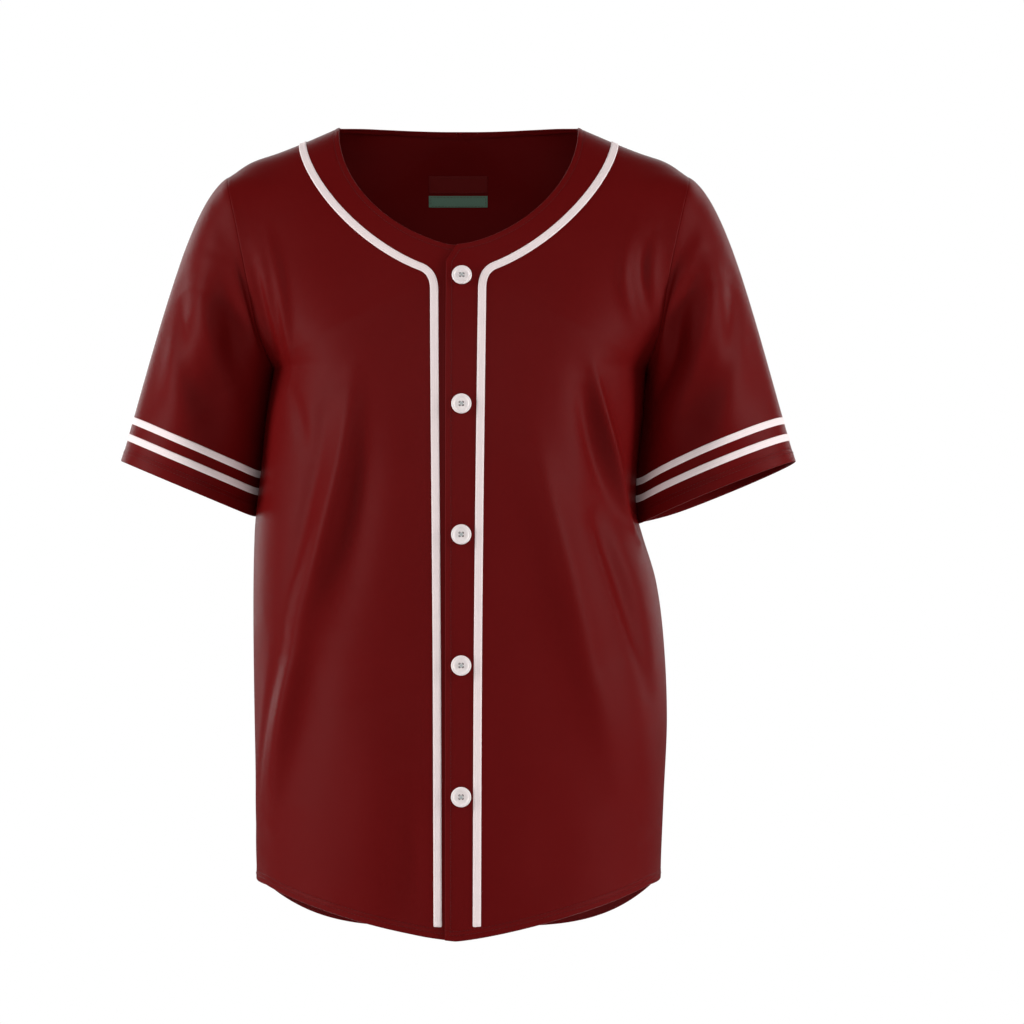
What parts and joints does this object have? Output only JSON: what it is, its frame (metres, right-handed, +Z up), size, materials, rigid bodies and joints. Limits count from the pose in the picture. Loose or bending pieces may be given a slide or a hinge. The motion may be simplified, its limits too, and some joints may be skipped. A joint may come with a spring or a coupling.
{
  "type": "baseball jersey",
  "caption": "Short-sleeved button-front jersey with a round neck, white braid down both fronts and round the neck, striped cuffs and a curved hem, filled out as worn.",
  "frame": {"origin": "middle of the neck base, level with the two high points of the shoulders, where the jersey is held when worn", "axes": "+Z up, the front faces -Y, and +X is the wearer's left"},
  "size_m": [0.606, 0.2701, 0.7418],
  "materials": {
    "cloth": "dark red polyester double knit with a soft sheen",
    "braid": "white flat woven braid, matt",
    "button": "white polyester resin, semi-gloss",
    "label": "dark red woven patch, bare",
    "label_bar": "grey-green woven patch, bare"
  },
  "bodies": {
    "root": {"front_right": "cloth", "front_left": "cloth", "back": "cloth", "sleeve_right": "cloth", "sleeve_left": "cloth", "braid": "braid", "stripe_right_1": "braid", "stripe_right_2": "braid", "stripe_left_1": "braid", "stripe_left_2": "braid", "button_1": "button", "button_2": "button", "button_3": "button", "button_4": "button", "button_5": "button", "neck_label": "label", "neck_size_bar": "label_bar"}
  },
  "joints": []
}
